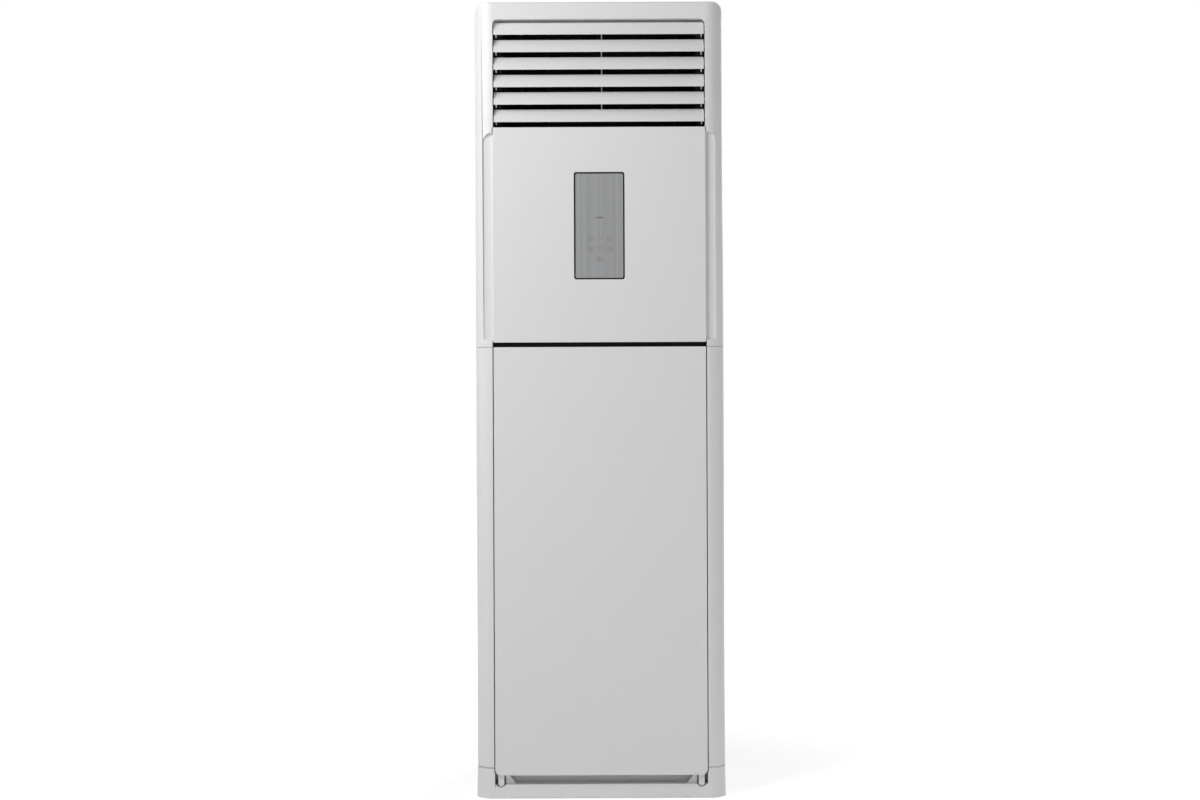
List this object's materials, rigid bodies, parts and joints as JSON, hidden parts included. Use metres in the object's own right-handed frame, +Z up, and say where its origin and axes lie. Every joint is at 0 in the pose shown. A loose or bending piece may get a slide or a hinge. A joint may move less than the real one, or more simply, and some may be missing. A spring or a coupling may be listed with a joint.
{
  "type": "floor standing air conditioner",
  "caption": "Tall cabinet indoor unit with tilting outlet louvres, control window, removable intake panel, filter, blower and coil.",
  "frame": {"origin": "on the floor, at the middle of the footprint", "axes": "+Z up, -Y to the front, +X to the right seen from the front"},
  "size_m": [0.6, 0.45, 1.905],
  "materials": {
    "white_plastic": "fine satin",
    "white_sheet": "powder coat",
    "black_plastic": "satin",
    "window": "vertical brushing under clear lacquer",
    "zinc": "galvanised sheet",
    "aluminium": "bare",
    "copper": "bare copper tube",
    "foam": "closed cell foam",
    "motor": "dark paint",
    "board": "circuit board",
    "filter_net": "woven net"
  },
  "bodies": {
    "cabinet": {"upper_front_frame": "white_plastic", "top_cover": "white_plastic", "right_front_column": "white_plastic", "left_front_column": "white_plastic", "plinth_cover": "white_plastic", "upper_front_panel": "white_plastic", "right_side_panel": "white_sheet", "left_side_panel": "white_sheet", "rear_panel": "white_sheet", "front_cross_rail": "black_plastic", "display_bezel": "black_plastic", "terminal_block": "black_plastic", "bell_mouth": "black_plastic", "right_louvre_bearing": "black_plastic", "left_louvre_bearing": "black_plastic", "display_window": "window", "wall_bracket": "zinc", "base_pan": "zinc", "inlet_bulkhead": "zinc", "front_partition": "zinc", "control_box": "zinc", "scroll_housing": "zinc", "motor_bracket": "zinc", "divider_plate": "zinc", "swing_motor": "zinc", "evaporator_coil": "aluminium", "right_tube_sheet": "aluminium", "left_tube_sheet": "aluminium", "run_capacitor": "aluminium", "suction_pipe": "copper", "liquid_pipe": "copper", "outlet_duct": "foam", "drain_pan": "foam", "fan_motor": "motor", "display_board": "board", "control_board": "board"},
    "louvre_1": {"louvre_1": "white_plastic"},
    "louvre_2": {"louvre_2": "white_plastic"},
    "louvre_3": {"louvre_3": "white_plastic"},
    "louvre_4": {"louvre_4": "white_plastic"},
    "louvre_5": {"louvre_5": "white_plastic"},
    "louvre_6": {"louvre_6": "white_plastic"},
    "louvre_link": {"louvre_link": "white_plastic"},
    "vane_1": {"vane_1": "black_plastic"},
    "vane_2": {"vane_2": "black_plastic"},
    "vane_3": {"vane_3": "black_plastic"},
    "vane_4": {"vane_4": "black_plastic"},
    "vane_5": {"vane_5": "black_plastic"},
    "vane_6": {"vane_6": "black_plastic"},
    "vane_7": {"vane_7": "black_plastic"},
    "vane_link": {"vane_link": "black_plastic"},
    "vane_crank": {"vane_crank": "black_plastic"},
    "blower": {"blower_wheel": "zinc", "motor_shaft": "zinc"},
    "intake_panel": {"intake_panel": "white_plastic"},
    "filter": {"filter_frame": "black_plastic", "filter_mesh": "filter_net"}
  },
  "joints": [
    {"name": "louvre_1_tilt", "type": "hinge", "parent": "cabinet", "child": "louvre_1", "pos_m": [0, -0.2, 1.8427], "axis": [1, 0, 0], "range_deg": [-40, 20]},
    {"name": "louvre_2_tilt", "type": "hinge", "parent": "cabinet", "child": "louvre_2", "pos_m": [0, -0.2, 1.80094], "axis": [1, 0, 0], "range_deg": [-40, 20]},
    {"name": "louvre_3_tilt", "type": "hinge", "parent": "cabinet", "child": "louvre_3", "pos_m": [0, -0.2, 1.75918], "axis": [1, 0, 0], "range_deg": [-40, 20]},
    {"name": "louvre_4_tilt", "type": "hinge", "parent": "cabinet", "child": "louvre_4", "pos_m": [0, -0.2, 1.71742], "axis": [1, 0, 0], "range_deg": [-40, 20]},
    {"name": "louvre_5_tilt", "type": "hinge", "parent": "cabinet", "child": "louvre_5", "pos_m": [0, -0.2, 1.67566], "axis": [1, 0, 0], "range_deg": [-40, 20]},
    {"name": "louvre_6_tilt", "type": "hinge", "parent": "cabinet", "child": "louvre_6", "pos_m": [0, -0.2, 1.6339], "axis": [1, 0, 0], "range_deg": [-40, 20]},
    {"name": "louvre_link_pivot", "type": "hinge", "parent": "louvre_3", "child": "louvre_link", "pos_m": [0.007, -0.184, 1.75918], "axis": [1, 0, 0], "range_deg": [-20, 40]},
    {"name": "vane_1_swing", "type": "hinge", "parent": "cabinet", "child": "vane_1", "pos_m": [-0.186, -0.152, 1.6], "axis": [0, 0, 1], "range_deg": [-35, 35]},
    {"name": "vane_2_swing", "type": "hinge", "parent": "cabinet", "child": "vane_2", "pos_m": [-0.124, -0.152, 1.6], "axis": [0, 0, 1], "range_deg": [-35, 35]},
    {"name": "vane_3_swing", "type": "hinge", "parent": "cabinet", "child": "vane_3", "pos_m": [-0.062, -0.152, 1.6], "axis": [0, 0, 1], "range_deg": [-35, 35]},
    {"name": "vane_4_swing", "type": "hinge", "parent": "cabinet", "child": "vane_4", "pos_m": [0, -0.152, 1.6], "axis": [0, 0, 1], "range_deg": [-35, 35]},
    {"name": "vane_5_swing", "type": "hinge", "parent": "cabinet", "child": "vane_5", "pos_m": [0.062, -0.152, 1.6], "axis": [0, 0, 1], "range_deg": [-35, 35]},
    {"name": "vane_6_swing", "type": "hinge", "parent": "cabinet", "child": "vane_6", "pos_m": [0.124, -0.152, 1.6], "axis": [0, 0, 1], "range_deg": [-35, 35]},
    {"name": "vane_7_swing", "type": "hinge", "parent": "cabinet", "child": "vane_7", "pos_m": [0.186, -0.152, 1.6], "axis": [0, 0, 1], "range_deg": [-35, 35]},
    {"name": "vane_link_pivot", "type": "hinge", "parent": "vane_4", "child": "vane_link", "pos_m": [0, -0.126, 1.613], "axis": [0, 0, 1], "range_deg": [-35, 35]},
    {"name": "vane_crank_turn", "type": "hinge", "parent": "cabinet", "child": "vane_crank", "pos_m": [0.093, -0.152, 1.592], "axis": [0, 0, 1], "range_deg": [-35, 35]},
    {"name": "blower_spin", "type": "hinge", "parent": "cabinet", "child": "blower", "pos_m": [-0.025, 0, 0.64], "axis": [0, 1, 0], "continuous": true},
    {"name": "intake_panel_tip", "type": "hinge", "parent": "cabinet", "child": "intake_panel", "pos_m": [0, -0.207, 0.0318], "axis": [1, 0, 0], "range_deg": [0, 30]},
    {"name": "filter_lift", "type": "slide", "parent": "cabinet", "child": "filter", "axis": [0, 0, 1], "range_m": [0, 0.015]}
  ],
  "couplings": [
    {"joint": "louvre_1_tilt", "follows": "louvre_3_tilt", "ratio": 1},
    {"joint": "louvre_2_tilt", "follows": "louvre_3_tilt", "ratio": 1},
    {"joint": "louvre_4_tilt", "follows": "louvre_3_tilt", "ratio": 1},
    {"joint": "louvre_5_tilt", "follows": "louvre_3_tilt", "ratio": 1},
    {"joint": "louvre_6_tilt", "follows": "louvre_3_tilt", "ratio": 1},
    {"joint": "louvre_link_pivot", "follows": "louvre_3_tilt", "ratio": -1},
    {"joint": "vane_1_swing", "follows": "vane_4_swing", "ratio": 1},
    {"joint": "vane_2_swing", "follows": "vane_4_swing", "ratio": 1},
    {"joint": "vane_3_swing", "follows": "vane_4_swing", "ratio": 1},
    {"joint": "vane_5_swing", "follows": "vane_4_swing", "ratio": 1},
    {"joint": "vane_6_swing", "follows": "vane_4_swing", "ratio": 1},
    {"joint": "vane_7_swing", "follows": "vane_4_swing", "ratio": 1},
    {"joint": "vane_link_pivot", "follows": "vane_4_swing", "ratio": -1},
    {"joint": "vane_crank_turn", "follows": "vane_4_swing", "ratio": 1}
  ]
}
